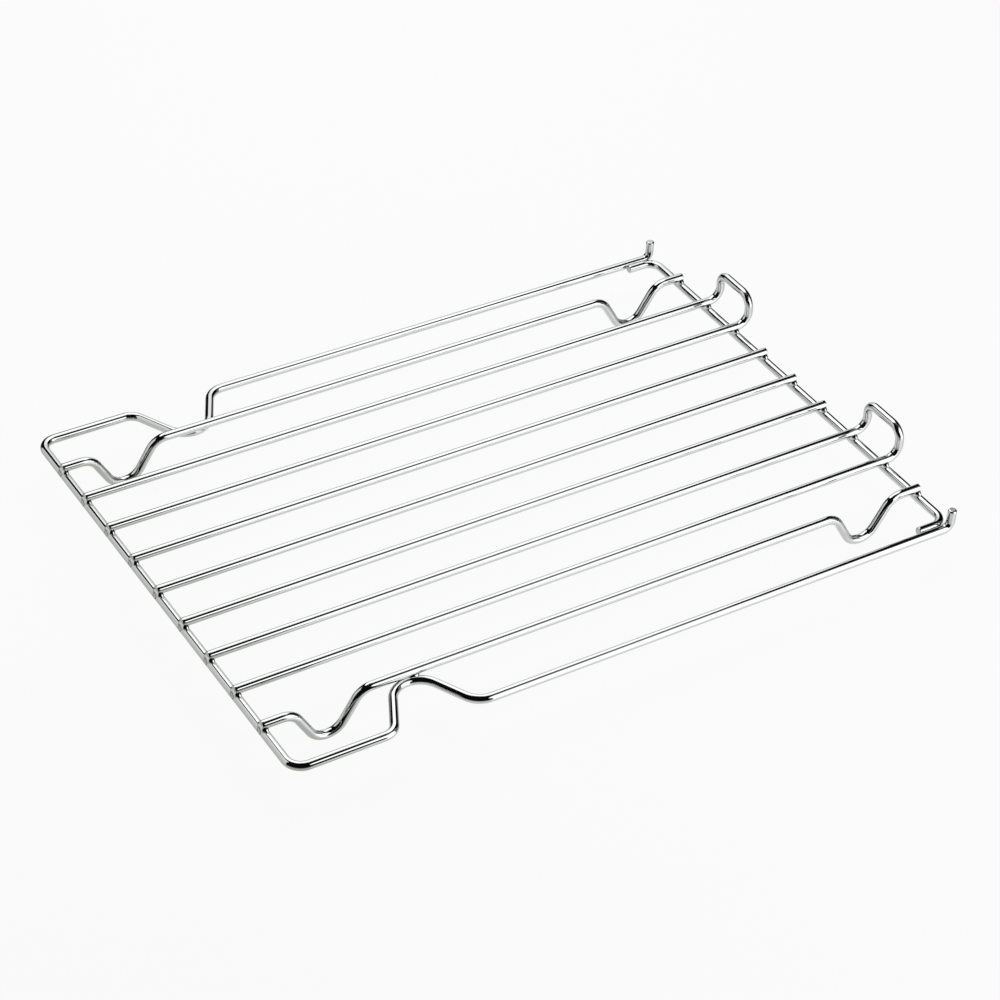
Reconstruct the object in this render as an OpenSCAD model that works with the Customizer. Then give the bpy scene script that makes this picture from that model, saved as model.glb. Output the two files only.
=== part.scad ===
/* [Rack] */
// Diameter of the wire that every piece is bent from
wire_d = 5; // [4:0.5:6]
// Width over the two side rails
rack_w = 300; // [290:1:330]
// Distance between the front and the rear cross wire, centre to centre
cross_span = 400; // [340:1:440]
// Chamfer on the cut ends of the wires
end_chamfer = 0.5; // [0.2:0.1:1]

/* [Bars] */
// Distance from one bar to the next, centre to centre
bar_pitch = 29; // [26:0.5:30]
// How far the bars run out past the centre of the front cross wire
bar_front_over = 1.2; // [0.6:0.1:2.4]
// How far the bars run out past the centre of the rear cross wire
bar_rear_over = 2; // [0.6:0.1:2.4]
// How deep each bar is pressed into the cross wire that it is welded to
weld_sink = 0.7; // [0.5:0.1:1]

/* [Feet] */
// Distance from the middle of a foot to the nearer cross wire
foot_inset = 35.5; // [32:0.5:60]
// Depth of a foot below its bar, at the centre of the wire
foot_drop = 21.4; // [16:0.2:28]
// Slope of the sides of a foot, in degrees
foot_slope = 59; // [45:1:65]
// Bend radius of a foot, at the centre of the wire
foot_bend = 11; // [8:0.5:12]

/* [Back stops] */
// Height of a back stop above its bars, at the centre of the wire
stop_rise = 18.1; // [17:0.1:40]
// Distance of a back stop behind the rear cross wire, centre to centre
stop_back = 9.3; // [9:0.1:20]
// Lean of a back stop over its bars, in degrees
stop_lean = 4; // [0:1:10]
// Bend radius where a bar turns up into its back stop
stop_foot_bend = 8; // [6:0.5:8.5]
// Bend radius of the top corners of a back stop
stop_top_bend = 7; // [5:0.5:8]

/* [Frame wire] */
// Bend radius of the front corners
corner_bend = 8.5; // [6:0.5:14]
// Straight length of each ear, beside the front corner
ear_l = 42; // [36:1:60]
// Bend radius at the rear of each ear
ear_bend = 9; // [7:0.5:12]
// Angle that the wire turns through into the jog and out of it
jog_turn = 62.5; // [50:0.5:70]
// Bend radius of the jog, where it passes the outer bar
jog_bend = 13.8; // [10:0.2:16]
// Bend radius where the jog runs out into the side rail
rail_bend = 12.4; // [8:0.2:14]
// How deep the jog is pressed into the outer bar
jog_sink = 0.3; // [0.2:0.05:0.4]
// Height of the upturned tips above the side rails, at the centre of the wire
tip_rise = 12; // [8:0.5:30]
// Bend radius of the upturned tips
tip_bend = 4.7; // [4:0.1:7]
// Distance of the tips in front of the centre of the rear cross wire
tip_front = 0.5; // [0:0.1:3]

/* [Rear cross wire] */
// Length of the two legs, from the centre of the cross wire
leg_l = 18.3; // [14:0.1:30]
// Bend radius between the cross wire and its legs
leg_bend = 8; // [7:0.5:12]
// How deep each leg is pressed into its side rail
leg_sink = 0.5; // [0.3:0.1:0.8]

/* [Hidden] */
$fn = 48;
chrome_colour = [0.82, 0.83, 0.84];
wire_r = wire_d / 2;
// Bending draws the wire thinner by this much on its radius
bend_thinning = 0.01;
bend_r = wire_r - bend_thinning;

// Heights of the wires' centres, with the feet standing on z = 0
bar_z = foot_drop + bend_r;
frame_z = bar_z - wire_d + weld_sink;

// Places along the rack, with the middle of its whole depth at y = 0
depth = wire_r + cross_span + stop_back + bend_r;
front_y = wire_r - depth / 2;
rear_y = front_y + cross_span;

// Places across the rack
rail_x = rack_w / 2 - wire_r;
outer_bar_x = 4 * bar_pitch;
leg_x = rail_x - wire_d + leg_sink;
// The jog passes the outer bar at the distance that presses it in by jog_sink
jog_x = outer_bar_x + sqrt(pow(wire_d - jog_sink, 2) - pow(bar_z - frame_z, 2));
jog_depth = rail_x - jog_x;

// Straight sides of the jog and of a foot, from their depths and bends
function side_l(depth_over, bends, turn) = (depth_over - bends * (1 - cos(turn))) / sin(turn);
jog_in_l = side_l(jog_depth, ear_bend + jog_bend, jog_turn);
jog_out_l = side_l(jog_depth, rail_bend + jog_bend, jog_turn);
foot_side_l = side_l(foot_drop, 2 * foot_bend, foot_slope);

// How far those runs reach along the rack
function run_y(bends, side, turn) = bends * sin(turn) + side * cos(turn);
jog_y = front_y + corner_bend + ear_l + run_y(ear_bend + jog_bend, jog_in_l, jog_turn);
rail_start_y = jog_y + run_y(rail_bend + jog_bend, jog_out_l, jog_turn);
tip_y = rear_y - tip_front;
foot_half = run_y(2 * foot_bend, foot_side_l, foot_slope);

// Straight length of a back stop's upright, between its two bends
upright_l = (stop_rise - stop_foot_bend * (1 + sin(stop_lean)) - stop_top_bend * cos(stop_lean)) / cos(stop_lean);

// A straight stretch of wire along z, and what follows it
module straight(length) {
    cylinder(h = length, r = wire_r);
    translate([0, 0, length]) children();
}

// A straight stretch that starts with a cut end
module cut_start(length) {
    cylinder(h = end_chamfer, r1 = wire_r - end_chamfer, r2 = wire_r);
    translate([0, 0, end_chamfer]) straight(length - end_chamfer) children();
}

// A straight stretch that ends with a cut end
module cut_end(length) {
    straight(length - end_chamfer) cylinder(h = end_chamfer, r1 = wire_r, r2 = wire_r - end_chamfer);
}

// A bend from z towards x, or away from x where the angle is negative, and what follows it.
// It reaches a hair into the straights at both ends, where its thinner wire lies inside theirs.
module bend(radius, angle) {
    side = angle < 0 ? -1 : 1;
    turn = abs(angle);
    reach = 180 / PI * sqrt(bend_thinning / radius);
    translate([side * radius, 0, 0])
        rotate([90, 0, 0])
        rotate([0, 0, (side < 0 ? 0 : 180 - turn) - reach])
        rotate_extrude(angle = turn + 2 * reach)
        translate([radius, 0])
        circle(r = bend_r);
    translate([side * radius * (1 - cos(turn)), 0, radius * sin(turn)])
        rotate([0, angle, 0])
        children();
}

// Turns the path so that it runs along +y and bends downwards
module along_bar(x) {
    translate([x, front_y - bar_front_over, bar_z]) rotate([-90, 0, 0]) rotate([0, 0, 90]) children();
}

// The saddles that the two cross wires press into a bar
module cross_wire_saddles(x) {
    for (y = [front_y, rear_y])
        translate([x, y, frame_z]) rotate([0, 90, 0]) cylinder(h = 3 * wire_d, r = wire_r, center = true);
}

// The saddle that the frame wire's jog presses into the outer bar
module jog_saddle() {
    translate([jog_x + jog_bend, jog_y, frame_z]) rotate_extrude() translate([jog_bend, 0]) circle(r = bend_r);
}

// One side of the frame wire: front corner, ear, jog, side rail and upturned tip
module frame_side() {
    translate([rail_x - corner_bend, front_y, frame_z]) rotate([90, 0, 90])
        bend(corner_bend, 90) straight(ear_l)
        bend(ear_bend, jog_turn) straight(jog_in_l)
        bend(jog_bend, -2 * jog_turn) straight(jog_out_l)
        bend(rail_bend, jog_turn) straight(tip_y - tip_bend - rail_start_y)
        rotate([0, 0, 90]) bend(tip_bend, 90) cut_end(tip_rise - tip_bend);
}

module frame_wire() color(chrome_colour) {
    front_l = 2 * (rail_x - corner_bend);
    translate([0, front_y, frame_z]) rotate([0, 90, 0]) cylinder(h = front_l, r = wire_r, center = true);
    frame_side();
    mirror([1, 0, 0]) frame_side();
}

// One end of the rear cross wire: its corner and its leg beside the side rail
module rear_leg() {
    translate([leg_x - leg_bend, rear_y, frame_z]) rotate([-90, 0, -90])
        bend(leg_bend, 90) cut_end(leg_l - leg_bend);
}

module rear_cross_wire() color(chrome_colour) {
    cross_l = 2 * (leg_x - leg_bend);
    difference() {
        union() {
            translate([0, rear_y, frame_z]) rotate([0, 90, 0]) cylinder(h = cross_l, r = wire_r, center = true);
            rear_leg();
            mirror([1, 0, 0]) rear_leg();
        }
        // The strips that the side rails press into the legs
        for (x = [-rail_x, rail_x])
            translate([x, rear_y - 2 * leg_l, frame_z]) rotate([-90, 0, 0]) cylinder(h = 2 * leg_l, r = wire_r);
    }
}

// A foot: down one side, round its bottom and up the other side
module foot() {
    bend(foot_bend, foot_slope) straight(foot_side_l)
        bend(foot_bend, -2 * foot_slope) straight(foot_side_l)
        bend(foot_bend, foot_slope) children();
}

module foot_bar(x) color(chrome_colour) {
    end_l = foot_inset - foot_half;
    difference() {
        along_bar(x)
            cut_start(bar_front_over + end_l)
            foot() straight(cross_span - 2 * (foot_inset + foot_half))
            foot() cut_end(end_l + bar_rear_over);
        cross_wire_saddles(x);
        jog_saddle();
    }
}

module foot_bar_right() foot_bar(outer_bar_x);

module foot_bar_left() mirror([1, 0, 0]) foot_bar(outer_bar_x);

// Half of a stop bar: the bar, its bend up, the upright and the top corner
module stop_bar_half(x) {
    along_bar(x)
        cut_start(bar_front_over + cross_span + stop_back - stop_foot_bend)
        bend(stop_foot_bend, -90 - stop_lean) straight(upright_l)
        rotate([0, 0, 90]) bend(stop_top_bend, x > 2.5 * bar_pitch ? 90 : -90);
}

module stop_bar(inner_x) color(chrome_colour) {
    outer_x = inner_x + bar_pitch;
    top_z = bar_z + stop_rise;
    // The top wire's place follows from the bend, the upright and the corner below it
    upright_run = upright_l + stop_top_bend;
    top_y = rear_y + stop_back - stop_foot_bend * (1 - cos(stop_lean)) - upright_run * sin(stop_lean);
    difference() {
        union() {
            stop_bar_half(inner_x);
            stop_bar_half(outer_x);
            translate([(inner_x + outer_x) / 2, top_y, top_z]) rotate([0, 90, 0])
                cylinder(h = bar_pitch - 2 * stop_top_bend, r = wire_r, center = true);
        }
        cross_wire_saddles(inner_x);
        cross_wire_saddles(outer_x);
    }
}

module stop_bar_right() stop_bar(2 * bar_pitch);

module stop_bar_left() mirror([1, 0, 0]) stop_bar(2 * bar_pitch);

module plain_bar(x) color(chrome_colour) difference() {
    along_bar(x) cut_start(bar_front_over + cross_span / 2) cut_end(cross_span / 2 + bar_rear_over);
    cross_wire_saddles(x);
}

module plain_bar_right() plain_bar(bar_pitch);

module plain_bar_middle() plain_bar(0);

module plain_bar_left() plain_bar(-bar_pitch);

frame_wire();
rear_cross_wire();
foot_bar_right();
foot_bar_left();
stop_bar_right();
stop_bar_left();
plain_bar_right();
plain_bar_middle();
plain_bar_left();
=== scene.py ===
# %% [markdown]
# An oven rack of bright chromed wire. First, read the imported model.
# The rack is nine bent steel wires, welded where they cross and then plated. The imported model
# holds the true places of the wires, so every size below comes from it or from a value that a
# wire bender would know.

import math

import bmesh
import bpy
from mathutils import Matrix, Quaternion, Vector


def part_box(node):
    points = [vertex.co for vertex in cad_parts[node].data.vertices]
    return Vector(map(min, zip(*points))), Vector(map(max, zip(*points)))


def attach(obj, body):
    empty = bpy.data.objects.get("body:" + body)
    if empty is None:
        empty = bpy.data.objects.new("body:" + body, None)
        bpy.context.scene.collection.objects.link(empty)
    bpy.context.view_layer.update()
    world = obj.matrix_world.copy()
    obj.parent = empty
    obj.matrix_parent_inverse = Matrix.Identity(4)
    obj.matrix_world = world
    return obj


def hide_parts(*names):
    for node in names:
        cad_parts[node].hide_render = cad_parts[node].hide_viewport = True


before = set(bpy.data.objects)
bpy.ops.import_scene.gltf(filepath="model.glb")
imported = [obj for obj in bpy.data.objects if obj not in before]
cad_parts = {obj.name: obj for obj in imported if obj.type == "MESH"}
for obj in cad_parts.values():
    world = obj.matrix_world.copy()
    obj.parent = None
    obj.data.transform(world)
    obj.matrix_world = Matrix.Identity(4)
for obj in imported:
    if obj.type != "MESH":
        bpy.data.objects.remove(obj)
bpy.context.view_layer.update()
print("wires in the frame:", ", ".join(sorted(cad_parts)))

# %% [markdown]
# The sizes of the rack. One wire gauge serves the whole rack, and every bend has the radius of
# the former it was bent round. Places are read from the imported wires, so that the bright wires
# lie exactly where the plain ones do.

# %% Sizes in metres
MM = 0.001
WIRE_R = 2.5 * MM
BODY = "root"

X, Y, Z = range(3)
RIGHT = Vector((1, 0, 0))
REAR = Vector((0, 1, 0))
UP = Vector((0, 0, 1))


def middle(node, axis):
    """The middle of a CAD wire's box along one axis."""
    low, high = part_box(node)
    return (low[axis] + high[axis]) / 2


def low_end(node, axis):
    """Where a CAD wire starts along one axis."""
    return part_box(node)[0][axis]


def high_end(node, axis):
    """Where a CAD wire ends along one axis."""
    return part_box(node)[1][axis]


bar_z = middle("plain_bar_middle", Z)
bar_front_y = low_end("plain_bar_middle", Y)
bar_rear_y = high_end("plain_bar_middle", Y)
frame_z = middle("rear_cross_wire", Z)
front_y = low_end("frame_wire", Y) + WIRE_R
rear_y = high_end("rear_cross_wire", Y) - WIRE_R
rail_x = high_end("frame_wire", X) - WIRE_R
leg_x = high_end("rear_cross_wire", X) - WIRE_R
print("bars at height %.2f mm, frame wire at %.2f mm" % (bar_z / MM, frame_z / MM))
print("cross wires %.2f mm apart" % ((rear_y - front_y) / MM))

# %% [markdown]
# The camera stands above the front right corner and looks down on the rack with a long lens, as
# for a catalogue. A long lens keeps the bars nearly parallel. The roll tilts the horizon by a few
# degrees.

# %% Camera
CAMERA_TURN = math.radians(56.87)
CAMERA_RISE = math.radians(38.03)
CAMERA_ROLL = math.radians(3.25)
CAMERA_DISTANCE = 1.58654
CAMERA_TARGET = Vector((0.01363, -0.007725, 0.01959))
SENSOR = 36.0
LENS = 105.875

away = Vector((
    math.sin(CAMERA_TURN) * math.cos(CAMERA_RISE),
    -math.cos(CAMERA_TURN) * math.cos(CAMERA_RISE),
    math.sin(CAMERA_RISE),
))
camera_data = bpy.data.cameras.new("camera")
camera_data.sensor_fit = "HORIZONTAL"
camera_data.sensor_width = SENSOR
camera_data.lens = LENS
camera = bpy.data.objects.new("camera", camera_data)
camera.location = CAMERA_TARGET + away * CAMERA_DISTANCE
camera.rotation_mode = "QUATERNION"
camera.rotation_quaternion = away.to_track_quat("Z", "Y") @ Quaternion((0, 0, 1), CAMERA_ROLL)
bpy.context.scene.collection.objects.link(camera)
bpy.context.scene.camera = camera
print("camera at", [round(value, 3) for value in camera.location])

# %% [markdown]
# A wire is drawn straight and then bent round formers, so the mesh is made the same way. A round
# section is pushed forward: each straight extrudes its ring of edges, and each bend spins the ring
# about the centre of the former. A curve object with a round bevel could do it too, but its bends
# are only nearly round. Spin gives true arcs.

# %% The wire bender
RING = 40
RIM_STEPS = 5
BEND_STEP = math.radians(4.5)
COLLAR = 1.7 * MM
CUT_ROUND = 0.45 * MM
MERGE_WITHIN = 0.002 * MM


class WireBender:
    """Pushes a round section along a wire, by straights and bends, and keeps where its end is."""

    def __init__(self, start, forward, cut=True):
        self.mesh = bmesh.new()
        self.at = Vector(start)
        self.forward = Vector(forward).normalized()
        facing = self.forward.to_track_quat("Z", "Y").to_matrix().to_4x4()
        place = Matrix.Translation(self.at) @ facing
        bmesh.ops.create_circle(
            self.mesh, cap_ends=cut, segments=RING, radius=WIRE_R, matrix=place,
        )
        self.ring = list(self.mesh.edges)
        self.rims = list(self.ring) if cut else []
        self.length = 0.0

    def push(self, length):
        """Extrudes the ring of edges forward by that length."""
        grown = bmesh.ops.extrude_edge_only(self.mesh, edges=self.ring)["geom"]
        moved = [item for item in grown if isinstance(item, bmesh.types.BMVert)]
        bmesh.ops.translate(self.mesh, verts=moved, vec=self.forward * length)
        edges = [item for item in grown if isinstance(item, bmesh.types.BMEdge)]
        self.ring = [edge for edge in edges if set(edge.verts) <= set(moved)]
        self.at = self.at + self.forward * length
        self.length += length

    def straight(self, length):
        """A straight run. A collar of faces at each end keeps the shading of the long faces straight."""
        runs = (COLLAR, length - 2 * COLLAR, COLLAR) if length > 4 * COLLAR else (length,)
        for run in runs:
            self.push(run)
        return self

    def bend(self, radius, degrees, towards):
        """A bend of that radius, with its centre on the side that towards points to."""
        angle = math.radians(degrees)
        side = (towards - self.forward * towards.dot(self.forward)).normalized()
        centre = self.at + side * radius
        axis = self.forward.cross(side)
        section = list({vert for edge in self.ring for vert in edge.verts}) + self.ring
        spun = bmesh.ops.spin(
            self.mesh, geom=section, cent=centre, axis=axis, dvec=(0, 0, 0), angle=angle,
            steps=round(angle / BEND_STEP), use_duplicate=False, use_normal_flip=False,
            use_merge=False,
        )
        self.ring = [item for item in spun["geom_last"] if isinstance(item, bmesh.types.BMEdge)]
        turn = Matrix.Rotation(angle, 3, axis)
        self.at = centre + turn @ (self.at - centre)
        self.forward = (turn @ self.forward).normalized()
        self.length += radius * angle
        return self

    def cut(self):
        """Cuts the wire off here, with a flat end."""
        bmesh.ops.contextual_create(self.mesh, geom=self.ring)
        self.rims += self.ring
        return self

    def round_rims(self, radius=CUT_ROUND):
        """The shears leave a sharp rim, which is tumbled off before plating."""
        bmesh.ops.bevel(
            self.mesh, geom=self.rims, affect="EDGES", offset=radius, segments=RIM_STEPS,
            profile=0.5, material=-1,
        )
        self.rims = []
        return self

    def mirrored(self):
        """Adds the other half of a wire that is the same on both sides of x = 0, and joins them."""
        halves = list(self.mesh.verts) + list(self.mesh.edges) + list(self.mesh.faces)
        bmesh.ops.mirror(
            self.mesh, geom=halves, matrix=Matrix.Identity(4), merge_dist=0.0, axis="X",
        )
        bmesh.ops.remove_doubles(self.mesh, verts=self.mesh.verts, dist=MERGE_WITHIN)
        self.length *= 2
        return self


print("a bend has a ring every %.1f degrees" % math.degrees(BEND_STEP))

# %% [markdown]
# Each finished wire becomes one smooth shaded object that stands for its plain CAD node. Its two
# cut faces stay flat shaded, because shears leave them flat. They are the only faces with more
# than four corners, and they take the second of the wire's two materials.

# %% From bench to scene
wires = []


def new_object(mesh, name):
    """Makes an object of a finished bmesh."""
    data = bpy.data.meshes.new(name)
    mesh.to_mesh(data)
    mesh.free()
    made = bpy.data.objects.new(name, data)
    bpy.context.scene.collection.objects.link(made)
    return made


def finish_wire(bender, node, shift_x=0.0):
    """Makes the object of a bent wire, in place of the CAD node of that name."""
    mesh = bender.mesh
    bmesh.ops.translate(mesh, verts=mesh.verts, vec=(shift_x, 0, 0))
    bmesh.ops.recalc_face_normals(mesh, faces=mesh.faces)
    for face in mesh.faces:
        face.smooth = len(face.verts) <= 4
        face.material_index = 0 if face.smooth else 1
    open_edges = sum(1 for edge in mesh.edges if not edge.is_manifold)
    wire = new_object(mesh, node + "_bright")
    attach(wire, BODY)
    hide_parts(node)
    wires.append(wire)
    made_of = (bender.length / MM, len(wire.data.polygons), open_edges)
    print(node + ": %.0f mm of wire, %d faces, %d open edges" % made_of)


# %% [markdown]
# The frame wire runs round three sides of the rack in one plane. From the front cross wire it
# turns a round corner into an ear, swings in and out again in a jog that meets the outer bar, and
# then runs back as the side rail. Its tip turns up and keeps the rack from sliding out of its
# runners. The tip ends in a collar of its own, so that its well rounded rim has room. Half of the
# wire is bent, and mirrored.

# %% Frame wire
CORNER_BEND = 8.5 * MM
EAR_LENGTH = 42 * MM
EAR_BEND = 9 * MM
JOG_TURN = 62.5
JOG_BEND = 13.8 * MM
RAIL_BEND = 12.4 * MM
TIP_BEND = 4.7 * MM
TIP_COLLAR = 2.5 * MM
TIP_ROUND = 1.0 * MM
JOG_SINK = 0.3 * MM
QUARTER_TURN = 90

tip_top_z = high_end("frame_wire", Z)
tip_y = high_end("frame_wire", Y) - WIRE_R
outer_bar_x = middle("foot_bar_right", X)
jog_x = outer_bar_x + math.sqrt((2 * WIRE_R - JOG_SINK) ** 2 - (bar_z - frame_z) ** 2)
jog_depth = rail_x - jog_x


def slope_length(depth, bends, degrees):
    """The straight run that takes a wire over by that depth, between two bends of the same angle."""
    turn = math.radians(degrees)
    return (depth - bends * (1 - math.cos(turn))) / math.sin(turn)


def slope_reach(bends, straight, degrees):
    """How far those two bends and the straight between them reach along the rack."""
    turn = math.radians(degrees)
    return bends * math.sin(turn) + straight * math.cos(turn)


jog_in = slope_length(jog_depth, EAR_BEND + JOG_BEND, JOG_TURN)
jog_out = slope_length(jog_depth, RAIL_BEND + JOG_BEND, JOG_TURN)
jog_y = front_y + CORNER_BEND + EAR_LENGTH + slope_reach(EAR_BEND + JOG_BEND, jog_in, JOG_TURN)
rail_start_y = jog_y + slope_reach(RAIL_BEND + JOG_BEND, jog_out, JOG_TURN)
tip_rise = tip_top_z - frame_z - TIP_BEND - TIP_COLLAR

frame_bender = WireBender((0, front_y, frame_z), RIGHT, cut=False)
frame_bender.straight(rail_x - CORNER_BEND).bend(CORNER_BEND, QUARTER_TURN, REAR).straight(EAR_LENGTH)
frame_bender.bend(EAR_BEND, JOG_TURN, -RIGHT).straight(jog_in)
frame_bender.bend(JOG_BEND, 2 * JOG_TURN, RIGHT).straight(jog_out)
frame_bender.bend(RAIL_BEND, JOG_TURN, -RIGHT).straight(tip_y - TIP_BEND - rail_start_y)
frame_bender.bend(TIP_BEND, QUARTER_TURN, UP).straight(tip_rise).straight(TIP_COLLAR).cut()
frame_bender.round_rims(TIP_ROUND).mirrored()
finish_wire(frame_bender, "frame_wire")

# %% [markdown]
# The rear cross wire lies under the bars as the front one does. Each end turns forward in a short
# leg that is welded along the inside of the side rail, which closes the frame.

# %% Rear cross wire
LEG_BEND = 8 * MM

leg_end_y = low_end("rear_cross_wire", Y)
rear_bender = WireBender((0, rear_y, frame_z), RIGHT, cut=False)
rear_bender.straight(leg_x - LEG_BEND).bend(LEG_BEND, QUARTER_TURN, -REAR)
rear_bender.straight(rear_y - LEG_BEND - leg_end_y).cut().round_rims().mirrored()
finish_wire(rear_bender, "rear_cross_wire")

# %% [markdown]
# Three plain bars fill the middle. They are only cut to length, and their ends lie on the cross
# wires.

# %% Plain bars
for bar_name in ("plain_bar_right", "plain_bar_middle", "plain_bar_left"):
    bar_bender = WireBender((0, bar_front_y, bar_z), REAR)
    bar_bender.straight(bar_rear_y - bar_front_y).cut().round_rims()
    finish_wire(bar_bender, bar_name, middle(bar_name, X))

# %% [markdown]
# The two outer bars dip down near both ends, and the four rounded dips are the feet. Each dip goes
# down one slope, round its bottom and up the other. Its three bends share one former, and the one
# at the bottom turns twice as far as the others.

# %% Foot bars
FOOT_BEND = 11 * MM
FOOT_SLOPE = 59
FOOT_INSET = 35.5 * MM

foot_drop = bar_z - WIRE_R
foot_side = slope_length(foot_drop, 2 * FOOT_BEND, FOOT_SLOPE)
foot_half = slope_reach(2 * FOOT_BEND, foot_side, FOOT_SLOPE)


def bend_foot(bender):
    """Down the front slope, round the bottom of the foot and up the rear slope."""
    bender.bend(FOOT_BEND, FOOT_SLOPE, -UP).straight(foot_side)
    bender.bend(FOOT_BEND, 2 * FOOT_SLOPE, UP).straight(foot_side)
    bender.bend(FOOT_BEND, FOOT_SLOPE, -UP)


for bar_name in ("foot_bar_right", "foot_bar_left"):
    bar_bender = WireBender((0, bar_front_y, bar_z), REAR)
    bar_bender.straight(front_y + FOOT_INSET - foot_half - bar_front_y)
    bend_foot(bar_bender)
    bar_bender.straight(rear_y - front_y - 2 * (FOOT_INSET + foot_half))
    bend_foot(bar_bender)
    bar_bender.straight(bar_rear_y - bar_bender.at.y).cut().round_rims()
    finish_wire(bar_bender, bar_name, middle(bar_name, X))

# %% [markdown]
# The other four bars are two long wires. Each runs back as one bar, turns up behind the rear cross
# wire, crosses over and comes forward again as the next bar. The raised loop stops a dish from
# sliding off the back. It leans forward by a few degrees. Again one half is bent and mirrored, and
# the pair is then moved to its side.

# %% Stop bars
STOP_FOOT_BEND = 8 * MM
STOP_TOP_BEND = 7 * MM
STOP_LEAN = 4
STOP_BACK = 9.3 * MM
BAR_PITCH = 29 * MM

stop_top_z = high_end("stop_bar_right", Z) - WIRE_R
lean = math.radians(STOP_LEAN)
stop_rise = stop_top_z - bar_z
stop_bends = STOP_FOOT_BEND * (1 + math.sin(lean)) + STOP_TOP_BEND * math.cos(lean)
stop_upright = (stop_rise - stop_bends) / math.cos(lean)

for bar_name in ("stop_bar_right", "stop_bar_left"):
    bar_bender = WireBender((-BAR_PITCH / 2, bar_front_y, bar_z), REAR)
    bar_bender.straight(rear_y + STOP_BACK - STOP_FOOT_BEND - bar_front_y)
    bar_bender.bend(STOP_FOOT_BEND, QUARTER_TURN + STOP_LEAN, UP).straight(stop_upright)
    bar_bender.bend(STOP_TOP_BEND, QUARTER_TURN, RIGHT).straight(BAR_PITCH / 2 - STOP_TOP_BEND)
    bar_bender.round_rims().mirrored()
    finish_wire(bar_bender, bar_name, middle(bar_name, X))

# %% [markdown]
# Where two wires cross, the welder presses them together and a current melts them into each other.
# The squeezed out metal lies in a mound on the cross wire, on both sides of the bar. Below each
# front end it fills the notch between the bar and the front wire, and a bead joins each jog and
# each leg to its neighbour. Every bead is a sphere that is pressed to size, because a weld has no
# edges.

# %% Welds
MOUND = Vector((4.6, 2.4, 2.8)) * MM
NOTCH_BEAD = Vector((2.3, 1.45, 2.3)) * MM
NOTCH_FORWARD = 1.0 * MM
NOTCH_DROP = 0.35 * MM
JOG_BEAD = Vector((3.3, 2.7, 1.7)) * MM
JOG_BEAD_BACK = 4.2 * MM
LEG_BEAD = Vector((0.6, 3.0, 1.8)) * MM
WELD_SEGMENTS = 20


def add_bead(mesh, place, radii, turn=Quaternion()):
    """A bead with that half size along each axis, in place, and turned where it isn't level."""
    turned = turn.to_matrix().to_4x4()
    bmesh.ops.create_uvsphere(
        mesh, u_segments=WELD_SEGMENTS, v_segments=WELD_SEGMENTS // 2, radius=1.0,
        matrix=Matrix.Translation(place) @ turned @ Matrix.Diagonal((*radii, 1)),
    )


def finish_beads(mesh, name):
    """Makes one object of all beads in a mesh."""
    for face in mesh.faces:
        face.smooth = True
    bmesh.ops.recalc_face_normals(mesh, faces=mesh.faces)
    beads = new_object(mesh, name)
    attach(beads, BODY)
    print("%s: %d faces" % (name, len(beads.data.polygons)))
    return beads


bar_places = [middle(name, X) for name in ("foot_bar_right", "foot_bar_left")]
bar_places += [middle("plain_bar_" + side, X) for side in ("right", "middle", "left")]
for name in ("stop_bar_right", "stop_bar_left"):
    bar_places += [middle(name, X) - BAR_PITCH / 2, middle(name, X) + BAR_PITCH / 2]

weld_z = (bar_z + frame_z) / 2
mound_mesh = bmesh.new()
notch_mesh = bmesh.new()
for bar_x in sorted(bar_places):
    add_bead(mound_mesh, Vector((bar_x, front_y, weld_z)), MOUND)
    add_bead(mound_mesh, Vector((bar_x, rear_y, weld_z)), MOUND)
    notch = Vector((bar_x, front_y - NOTCH_FORWARD, weld_z - NOTCH_DROP))
    add_bead(notch_mesh, notch, NOTCH_BEAD)
for side in (-1, 1):
    from_bar = Vector((side * (jog_x - outer_bar_x), 0, frame_z - bar_z))
    jog_weld = Vector((side * outer_bar_x, jog_y + JOG_BEAD_BACK, bar_z)) + from_bar / 2
    add_bead(mound_mesh, jog_weld, JOG_BEAD, from_bar.to_track_quat("Z", "Y"))
    leg_middle = Vector((side * (leg_x + rail_x) / 2, (leg_end_y + rear_y - LEG_BEND) / 2, frame_z))
    add_bead(mound_mesh, leg_middle, LEG_BEAD)
weld_mounds = finish_beads(mound_mesh, "weld_mounds")
weld_notches = finish_beads(notch_mesh, "weld_notches")

# %% [markdown]
# A finish is a graph of shader nodes. Writing the graph as sums keeps it readable, so a small
# class wraps a socket and turns each operator into a Math node. Any other node comes from one
# method. A Math node would turn a colour grey, so colours go through a Mix node.

# %% Shader sums


class Socket:
    """An output socket that can be added, taken away and multiplied."""

    def __init__(self, tree, output):
        self.tree = tree
        self.output = output

    def node(self, kind, out=0, inputs=None, **settings):
        """Adds a node of that type, its settings first and then its inputs, and wraps one output."""
        made = self.tree.nodes.new(kind)
        for name, value in settings.items():
            setattr(made, name, value)
        for name, value in (inputs or {}).items():
            if isinstance(value, Socket):
                self.tree.links.new(value.output, made.inputs[name])
            else:
                made.inputs[name].default_value = value
        return Socket(self.tree, made.outputs[out])

    def math(self, operation, first, second):
        """Adds a Math node, in the tree of this socket."""
        return self.node("ShaderNodeMath", inputs={0: first, 1: second}, operation=operation)

    def __add__(self, other):
        return self.math("ADD", self, other)

    __radd__ = __add__

    def __sub__(self, other):
        return self.math("SUBTRACT", self, other)

    def __rsub__(self, other):
        return self.math("SUBTRACT", other, self)

    def __mul__(self, other):
        return self.math("MULTIPLY", self, other)

    __rmul__ = __mul__


def empty_tree(owner):
    """Clears the nodes of a material or world, and gives a first socket to write sums from."""
    owner.use_nodes = True
    owner.node_tree.nodes.clear()
    return Socket(owner.node_tree, None)


def new_material(name):
    """An empty material, and a first socket to write sums from."""
    material = bpy.data.materials.new(name)
    return material, empty_tree(material)


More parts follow.
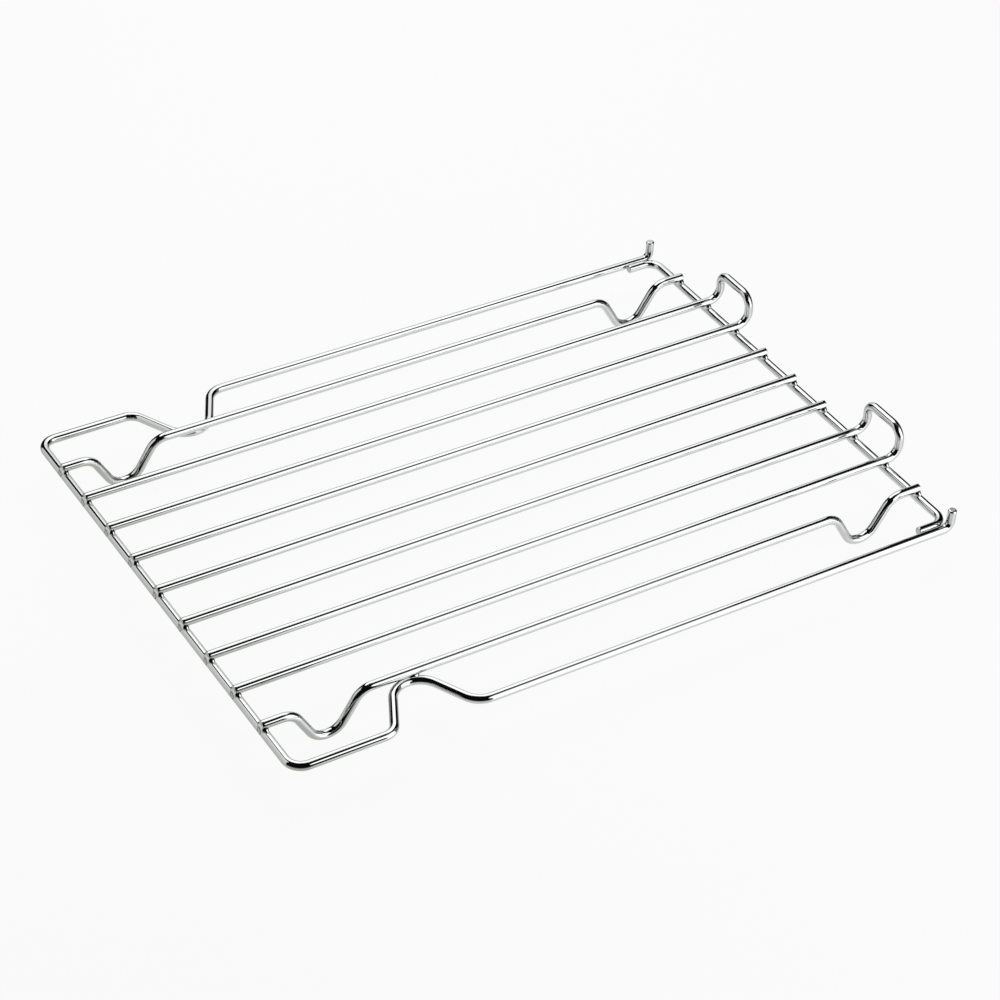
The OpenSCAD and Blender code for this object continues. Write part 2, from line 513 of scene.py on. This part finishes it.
def show(shader, output_kind="ShaderNodeOutputMaterial"):
    """Ends a graph: this shader is what the surface shows."""
    output = shader.tree.nodes.new(output_kind)
    shader.tree.links.new(shader.output, output.inputs["Surface"])


def mix_colours(share, first, second):
    """The first colour where the share is 0, and the second where it is 1."""
    return share.node(
        "ShaderNodeMix", out="Result", data_type="RGBA",
        inputs={"Factor": share, "A": first, "B": second},
    )


print("a sum of sockets adds one Math node for each operator")

# %% [markdown]
# Plated wire is never a perfect mirror: drawing leaves it very slightly wavy, the plating adds a
# fine skin like orange peel, and handling dulls it in patches. Three noise textures on Object
# coordinates stand for these. An image would have to be laid out along every wire, and noise
# needs no layout.

# %% The skin of the wire
PATCH_SCALE = 90.0
PATCH_DETAIL = 3.0
SKIN_SCALE = 1500.0
SKIN_DETAIL = 2.0
WAVE_SCALE = 60.0
WAVE_DETAIL = 1.0
WAVE_SHARE = 0.8
SKIN_SHARE = 0.02

chrome, start = new_material("bright_chrome")
place = start.node("ShaderNodeTexCoord", out="Object")


def noise(place, scale, detail):
    """A noise texture at that place, with that many grains in a metre."""
    return place.node("ShaderNodeTexNoise", inputs={"Vector": place, "Scale": scale, "Detail": detail})


patches = noise(place, PATCH_SCALE, PATCH_DETAIL)
skin = noise(place, SKIN_SCALE, SKIN_DETAIL)
waves = noise(place, WAVE_SCALE, WAVE_DETAIL)
relief = waves * WAVE_SHARE + skin * SKIN_SHARE
print("waves %.1f mm and peel %.2f mm long" % (1 / (WAVE_SCALE * MM), 1 / (SKIN_SCALE * MM)))

# %% [markdown]
# At each front weld, the end of the bar was pressed down over the face of the front wire like a
# tongue. It is too flat for a mesh of its own, so it is a mask in the finish: an oval below each
# bar, on the front half of the front wire only. Ping-pong gives the distance to the nearest bar,
# because every bar stands a whole number of pitches from the middle.

# %% Pressed tongues
TONGUE_WIDTH = 2.1 * MM
TONGUE_HEIGHT = 2.4 * MM
TONGUE_DROP = 0.8 * MM
TONGUE_RIM = 0.7
SEAM_SHADE_GAIN = 4

x, y, z = (start.node("ShaderNodeSeparateXYZ", out=axis, inputs={"Vector": place}) for axis in "XYZ")
across = start.math("PINGPONG", x, BAR_PITCH / 2) * (1 / TONGUE_WIDTH)
down = (z - (weld_z - TONGUE_DROP)) * (1 / TONGUE_HEIGHT)
oval = start.node(
    "ShaderNodeMapRange", interpolation_type="SMOOTHSTEP",
    inputs={
        "Value": across * across + down * down, "From Min": 1 - TONGUE_RIM, "From Max": 1.0,
        "To Min": 1.0, "To Max": 0.0,
    },
)
past_bars = max(bar_places) + BAR_PITCH / 2
under_bars = start.math("LESS_THAN", start.math("ABSOLUTE", x, 0), past_bars)
tongue = oval * start.math("LESS_THAN", y, front_y) * under_bars
# Painted shade: a thin dark line along the rim of each tongue, in place of the shade in the crevice
# there.
painted_seam_shade = tongue * (1 - tongue) * SEAM_SHADE_GAIN
print("a tongue %.1f mm wide below each of %d bars" % (2 * TONGUE_WIDTH / MM, len(bar_places)))

# %% [markdown]
# Bright chrome is a mirror that returns about two thirds of the light, a touch greener than
# silver. The patches change its colour and roughness by a little, and the waves and the peel are
# bump. The tongues are dull, with a raised rim. A thin line of painted shade round them stands for
# the shade in the crevice at their edge.

# %% Chrome
CHROME_COLOUR = (0.63, 0.645, 0.635, 1)
CHROME_DULL = (0.57, 0.585, 0.575, 1)
CUT_COLOUR = (0.59, 0.61, 0.59, 1)
# The near black colour of the painted shade in the crevice round each tongue.
SEAM_SHADE_COLOUR = (0.12, 0.13, 0.11, 1)
DULL_SHARE = 0.6
BRIGHT_ROUGHNESS = 0.012
PATCH_ROUGHNESS = 0.03
CUT_ROUGHNESS = 0.42
BUMP_DEPTH = 0.2 * MM
RIM_BUMP = 0.6
RELIEF_BUMP = 0.12

colour = mix_colours(patches * DULL_SHARE, CHROME_COLOUR, CHROME_DULL)
colour = mix_colours(tongue, colour, CUT_COLOUR)
# Painted shade: the rim of each tongue is darkened in the colour, not shaded by light.
colour = mix_colours(painted_seam_shade, colour, SEAM_SHADE_COLOUR)
rim = start.node(
    "ShaderNodeBump", inputs={"Strength": RIM_BUMP, "Distance": BUMP_DEPTH, "Height": tongue},
)
bumped = start.node(
    "ShaderNodeBump",
    inputs={"Strength": RELIEF_BUMP, "Distance": BUMP_DEPTH, "Height": relief, "Normal": rim},
)
roughness = BRIGHT_ROUGHNESS + patches * PATCH_ROUGHNESS + tongue * CUT_ROUGHNESS
show(start.node(
    "ShaderNodeBsdfPrincipled",
    inputs={"Base Color": colour, "Metallic": 1.0, "Normal": bumped, "Roughness": roughness},
))
for piece in wires + [weld_mounds]:
    piece.data.materials.append(chrome)
print("chrome on %d pieces" % (len(wires) + 1))

# %% [markdown]
# Shears tear the cut faces, and the heat pits the beads in the notches, so the plating on them is
# dull. On a wire, the cut faces are flat and take this as the second material. The beads in the
# notches have no other.

# %% Dull cut faces
TORN_SCALE = 900.0
TORN_DETAIL = 3.0
TORN_BUMP = 0.5
TORN_ROUGHNESS = 0.1

cut_face, start = new_material("dull_cut_face")
torn = noise(start.node("ShaderNodeTexCoord", out="Object"), TORN_SCALE, TORN_DETAIL)
bumped = start.node(
    "ShaderNodeBump", inputs={"Strength": TORN_BUMP, "Distance": BUMP_DEPTH, "Height": torn},
)
roughness = CUT_ROUGHNESS + torn * TORN_ROUGHNESS
show(start.node(
    "ShaderNodeBsdfPrincipled",
    inputs={"Base Color": CUT_COLOUR, "Metallic": 1.0, "Roughness": roughness, "Normal": bumped},
))
for piece in wires + [weld_notches]:
    piece.data.materials.append(cut_face)
print("dull faces on %d pieces" % (len(wires) + 1))

# %% [markdown]
# Chrome shows its surroundings, so the studio makes most of its look. The rack stands on white
# paper in a tent of cloth. The tent glows in two large fields, behind the rack on its right and
# on its left, and the cloth round the camera is black. The white bands on the wires are the
# bright fields, and the thin dark lines are the gaps between them.
# The paper is nearly all its own plain white, so that no lamp has to burn it out, and a small
# share of it is lit and keeps the shadow of the rack. In the chrome it is shaded towards the
# front, as paper is close to black cloth, and at a low angle it mirrors the bright fields.

# %% The floor
FLOOR_SIZE = 40.0
WHITE = (1.0, 0.995, 1.0, 1)
PAPER = (0.9, 0.9, 0.9, 1)
SHADED_PAPER = (0.64, 0.65, 0.61, 1)
SHADE_BEFORE = 20 * MM
SHADE_BEHIND = 110 * MM
PLAIN_SHARE = 0.93
SHEEN_ROUGHNESS = 0.05
SHEEN_IOR = 1.6
SHEEN_GAIN = 2.0

floor_mesh = bmesh.new()
bmesh.ops.create_grid(floor_mesh, x_segments=1, y_segments=1, size=FLOOR_SIZE / 2)
floor = new_object(floor_mesh, "floor")

paper, start = new_material("white_floor")
direct, glossy, through = (
    start.node("ShaderNodeLightPath", out="Is %s Ray" % kind)
    for kind in ("Camera", "Glossy", "Transmission")
)
place = start.node("ShaderNodeTexCoord", out="Object")
depth = start.node("ShaderNodeSeparateXYZ", out="Y", inputs={"Vector": place})
shade = start.node(
    "ShaderNodeMapRange", interpolation_type="SMOOTHSTEP",
    inputs={
        "Value": depth, "From Min": front_y - SHADE_BEFORE, "From Max": front_y + SHADE_BEHIND,
        "To Min": 1.0, "To Max": 0.0,
    },
)
shown = mix_colours(shade * glossy, WHITE, SHADED_PAPER)
lit = start.node("ShaderNodeBsdfDiffuse", inputs={"Color": PAPER})
glow = start.node("ShaderNodeEmission", inputs={"Color": shown, "Strength": 1.0})
plain = (direct + glossy + through) * PLAIN_SHARE
seen = start.node("ShaderNodeMixShader", inputs={0: plain, 1: lit, 2: glow})
sheen = start.node("ShaderNodeBsdfGlossy", inputs={"Color": WHITE, "Roughness": SHEEN_ROUGHNESS})
grazing = start.node("ShaderNodeFresnel", inputs={"IOR": SHEEN_IOR})
mirrored = grazing * glossy * SHEEN_GAIN
show(start.node("ShaderNodeMixShader", inputs={0: mirrored, 1: seen, 2: sheen}))
floor.data.materials.append(paper)
print("floor %.0f m wide" % FLOOR_SIZE)

# %% [markdown]
# The sky behind everything is plain white. The camera sees it above the far edge of the paper in
# a low view. The chrome doesn't, because the tent hides it.

# %% Sky
world = bpy.data.worlds.new("white_sky")
bpy.context.scene.world = world
start = empty_tree(world)
sky = start.node("ShaderNodeBackground", inputs={"Color": WHITE, "Strength": 1.0})
show(sky, "ShaderNodeOutputWorld")
print("sky:", world.name)

# %% [markdown]
# The tent is a ball of black cloth, about a metre from the rack, with glowing panels pinned to its
# inside. Directions are given as a compass turn from the rear of the rack towards its right side,
# and a rise above the floor, as they would be noted in a studio. A panel lies between a lower and
# an upper edge, each with a rise and two turns, and glows as its cloth looks from inside. Area
# lights would do too, but a mesh can have slanted edges and a soft change from edge to edge.

# %% Tent
TENT_RADIUS = 1.0
BACK_RADIUS = 1.03
BACK_SEGMENTS = 48
PANEL_CELLS = 8
CLOTH_BLACK = (0.01, 0.01, 0.01, 1)
RACK_MIDDLE = Vector((0, 0, frame_z))


def direction(turn, rise):
    """The unit vector of a compass turn and a rise, both in degrees."""
    turn, rise = math.radians(turn), math.radians(rise)
    return Vector((math.sin(turn) * math.cos(rise), math.cos(turn) * math.cos(rise), math.sin(rise)))


def blend(low, high, share):
    """The value that lies that share of the way from low to high."""
    return low + (high - low) * share


def hang(name, mesh, material):
    """Hangs a cloth in the studio. The camera looks through it."""
    cloth = new_object(mesh, name)
    cloth.data.materials.append(material)
    cloth.visible_camera = False


def cloth_glow(name, low_z, high_z, brightness):
    """Cloth that glows with one brightness at its lower edge and another at its upper edge."""
    material, start = new_material(name)
    low, high = (tuple(channel * level for channel in WHITE[:3]) + (1,) for level in brightness)
    place = start.node("ShaderNodeTexCoord", out="Object")
    height = start.node("ShaderNodeSeparateXYZ", out="Z", inputs={"Vector": place})
    share = (height - low_z) * (1 / (high_z - low_z))
    shade = mix_colours(share, low, high)
    show(start.node("ShaderNodeEmission", inputs={"Color": shade, "Strength": 1.0}))
    return material


def tent_panel(name, lower, upper, brightness):
    """A panel between two edges, each given as (rise, turn from, turn to)."""
    mesh = bmesh.new()
    bmesh.ops.create_grid(mesh, x_segments=PANEL_CELLS, y_segments=PANEL_CELLS, size=0.5)
    for vert in mesh.verts:
        along, share = vert.co.x + 0.5, vert.co.y + 0.5
        rise, first, last = (blend(low, high, share) for low, high in zip(lower, upper))
        vert.co = RACK_MIDDLE + direction(blend(first, last, along), rise) * TENT_RADIUS
    heights = [vert.co.z for vert in mesh.verts]
    print("%s: from %.2f m to %.2f m high" % (name, min(heights), max(heights)))
    hang(name, mesh, cloth_glow(name, min(heights), max(heights), brightness))


black, start = new_material("black_cloth")
show(start.node("ShaderNodeBsdfDiffuse", inputs={"Color": CLOTH_BLACK}))
back_mesh = bmesh.new()
bmesh.ops.create_uvsphere(
    back_mesh, u_segments=BACK_SEGMENTS, v_segments=BACK_SEGMENTS // 2, radius=BACK_RADIUS,
    matrix=Matrix.Translation(RACK_MIDDLE),
)
hang("black_tent", back_mesh, black)

# %% [markdown]
# The panels. The bright ones reach a little over twice the white of the paper, so that their
# image in the chrome is white too. The right light and the left light each fade out at the top,
# which gives the soft side of the dark lines, and the left wall, the front wall and the roof are
# dim cloth that is lit by the others.

# %% Panels
tent_panel("right_light_foot", (-1, 32, 76), (14, 32, 79), (2.1, 2.1))
tent_panel("right_light", (14, 32, 79), (34, 31, 88), (2.1, 2.1))
tent_panel("right_light_top", (34, 31, 88), (46, 36.5, 75), (2.1, 0.82))
tent_panel("right_light_fade", (46, 36.5, 75), (55, 42, 61), (0.82, 0.2))
tent_panel("right_light_edge", (-1, 12, 32), (46, 12, 37), (0.15, 0.25))
tent_panel("left_wall", (-1, 283, 320), (22, 273, 318), (0.7, 0.88))
tent_panel("left_light_foot", (22, 273, 318), (40, 263, 327), (0.88, 1.5))
tent_panel("left_light", (40, 263, 327), (52, 251, 338), (1.5, 2.1))
tent_panel("left_light_top", (52, 251, 338), (64, 229, 355), (2.1, 2.0))
tent_panel("left_light_fade", (64, 229, 355), (82, 212, 356), (2.0, 1.2))
tent_panel("roof", (58, 346, 398), (84, 352, 398), (0.28, 0.22))
tent_panel("front_wall", (-1, 178, 238), (50, 184, 228), (0.75, 1.05))

# %% [markdown]
# The picture is shown as it is lit, with no film look.

# %% Close
bpy.context.scene.view_settings.view_transform = "Standard"
